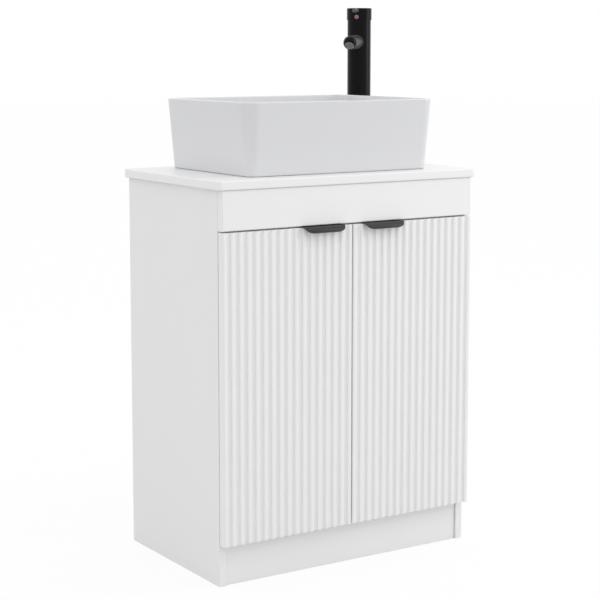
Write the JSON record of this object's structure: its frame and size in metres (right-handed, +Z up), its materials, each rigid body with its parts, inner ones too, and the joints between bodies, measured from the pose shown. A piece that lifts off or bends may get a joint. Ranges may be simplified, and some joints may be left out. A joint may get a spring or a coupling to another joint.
{
  "type": "bathroom vanity cabinet",
  "caption": "Floor-standing white vanity cabinet with fluted doors, black edge pulls, worktop, tapered vessel basin and a tall black mixer tap.",
  "frame": {"origin": "on the floor, at the middle of the outer box", "axes": "+X to the right seen from the front, the doors face -Y, +Z up"},
  "size_m": [0.62, 0.4066, 1.1322],
  "materials": {
    "white_board": "matt white melamine-faced board",
    "white_lacquer": "satin white lacquered board",
    "white_worktop": "smooth satin white worktop",
    "white_ceramic": "gloss white glaze",
    "black_metal": "satin black powder coat",
    "satin_steel": "satin nickel-plated steel",
    "chrome": "polished chrome",
    "black_rubber": "matt black rubber",
    "clear_bumper": "clear soft silicone",
    "grey_plastic": "matt grey plastic",
    "hot_red": "gloss red",
    "cold_blue": "gloss blue"
  },
  "bodies": {
    "cabinet": {"side_panel_left": "white_board", "side_panel_right": "white_board", "base_panel": "white_board", "plinth_board": "white_board", "front_rail": "white_board", "back_rail": "white_board", "back_panel": "white_board", "shelf": "white_board", "fascia_board": "white_lacquer", "worktop": "white_worktop", "basin": "white_ceramic", "shelf_pin_left_front": "satin_steel", "shelf_pin_left_back": "satin_steel", "shelf_pin_right_front": "satin_steel", "shelf_pin_right_back": "satin_steel", "hinge_arm_left_lower": "satin_steel", "hinge_arm_left_upper": "satin_steel", "hinge_arm_right_lower": "satin_steel", "hinge_arm_right_upper": "satin_steel", "hinge_plate_left_lower": "satin_steel", "hinge_plate_left_upper": "satin_steel", "hinge_plate_right_lower": "satin_steel", "hinge_plate_right_upper": "satin_steel", "waste_body": "chrome", "waste_flange_seal": "black_rubber", "waste_washer": "black_rubber", "tap_base_seal": "black_rubber", "tap_washer": "black_rubber", "waste_backnut": "grey_plastic", "tap_cartridge": "grey_plastic", "tap_body": "black_metal", "tap_aerator": "satin_steel", "tap_backnut": "satin_steel"},
    "door_left": {"door_left": "white_lacquer", "handle_left": "black_metal", "handle_left_screw_inner": "black_metal", "handle_left_screw_outer": "black_metal", "bumper_left_lower": "clear_bumper", "bumper_left_upper": "clear_bumper", "hinge_cup_left_lower": "satin_steel", "hinge_cup_left_upper": "satin_steel"},
    "door_right": {"door_right": "white_lacquer", "handle_right": "black_metal", "handle_right_screw_inner": "black_metal", "handle_right_screw_outer": "black_metal", "bumper_right_lower": "clear_bumper", "bumper_right_upper": "clear_bumper", "hinge_cup_right_lower": "satin_steel", "hinge_cup_right_upper": "satin_steel"},
    "waste_plug": {"waste_plug": "chrome"},
    "tap_turret": {"tap_turret": "grey_plastic"},
    "tap_handle": {"tap_cartridge_lever": "satin_steel", "tap_cap": "black_metal", "tap_pin_lever": "black_metal", "tap_mark_hot": "hot_red", "tap_mark_cold": "cold_blue"}
  },
  "joints": [
    {"name": "door_left_hinge", "type": "hinge", "parent": "cabinet", "child": "door_left", "pos_m": [-0.2922, -0.17875, 0.3905], "axis": [0, 0, -1], "range_deg": [0, 95]},
    {"name": "door_right_hinge", "type": "hinge", "parent": "cabinet", "child": "door_right", "pos_m": [0.2922, -0.17875, 0.3905], "axis": [0, 0, 1], "range_deg": [0, 95]},
    {"name": "waste_plug_lift", "type": "slide", "parent": "cabinet", "child": "waste_plug", "axis": [0, 0, 1], "range_m": [0, 0.008]},
    {"name": "tap_temperature", "type": "hinge", "parent": "cabinet", "child": "tap_turret", "pos_m": [0.262, 0.16825, 1.10225], "axis": [0, 0, 1], "range_deg": [-45, 45]},
    {"name": "tap_flow", "type": "hinge", "parent": "tap_turret", "child": "tap_handle", "pos_m": [0.262, 0.16825, 1.10225], "axis": [-0.682, 0.7314, 0], "range_deg": [0, 12]}
  ]
}
